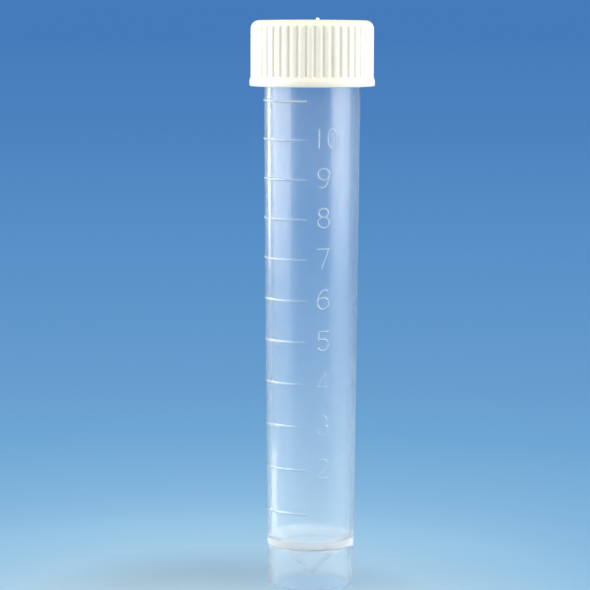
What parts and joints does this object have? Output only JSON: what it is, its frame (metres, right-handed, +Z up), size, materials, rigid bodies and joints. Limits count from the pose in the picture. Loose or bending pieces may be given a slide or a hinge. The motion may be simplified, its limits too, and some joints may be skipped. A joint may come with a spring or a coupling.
{
  "type": "graduated screw-cap test tube",
  "caption": "Self-standing graduated sample tube with a conical floor, a foot skirt, a ribbed screw cap and a plug seal.",
  "frame": {"origin": "centre of the foot, on the plane the tube stands on", "axes": "+Z up along the tube's axis, -Y towards the side where the graduation numbers are read, -X towards the graduation lines"},
  "size_m": [0.0208, 0.0208, 0.0949],
  "materials": {
    "natural_polypropylene": "translucent natural polypropylene, moulded, slightly milky",
    "soft_polyethylene": "soft translucent polyethylene, grey-green, satin",
    "white_polyethylene": "creamy white polyethylene, moulded, satin"
  },
  "bodies": {
    "tube": {"tube_body": "natural_polypropylene"},
    "seal": {"seal_liner": "soft_polyethylene"},
    "cap": {"screw_cap": "white_polyethylene"}
  },
  "joints": [
    {"name": "cap_lift", "type": "slide", "parent": "tube", "child": "seal", "axis": [0, 0, 1], "range_m": [0, 0.01351]},
    {"name": "cap_turn", "type": "hinge", "parent": "seal", "child": "cap", "pos_m": [0, 0, 0.092], "axis": [0, 0, 1], "range_deg": [0, 1620]}
  ],
  "couplings": [
    {"joint": "cap_lift", "follows": "cap_turn", "m_per_rad": 0.00047746}
  ]
}
